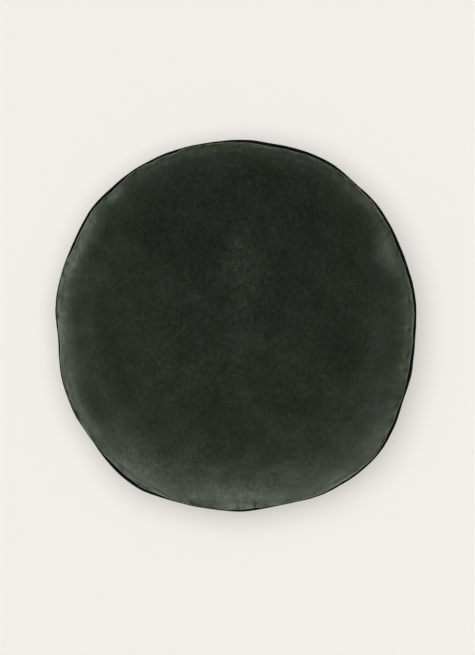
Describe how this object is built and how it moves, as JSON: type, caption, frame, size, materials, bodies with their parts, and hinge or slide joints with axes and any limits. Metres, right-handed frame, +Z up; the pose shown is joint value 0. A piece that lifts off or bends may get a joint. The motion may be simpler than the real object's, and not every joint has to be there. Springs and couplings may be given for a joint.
{
  "type": "round cushion",
  "caption": "Filled round scatter cushion with a crowned velvet face and back, drawn-in knife edge and thin corded piping in the seam.",
  "frame": {"origin": "centre of the bounding box in plan, on the flat of the back where the cushion rests", "axes": "+Z up out of the crowned face, the short way through the cushion; +Y towards the top of the face, the slightly longer way across; +X to the right of the face"},
  "size_m": [0.4616, 0.4754, 0.118],
  "materials": {
    "velvet": "dark forest-green short-pile velvet with a soft sheen towards the rim",
    "cord": "black woven bias strip over a thin cord"
  },
  "bodies": {
    "root": {"velvet_cover": "velvet", "edge_piping": "cord"}
  },
  "joints": []
}
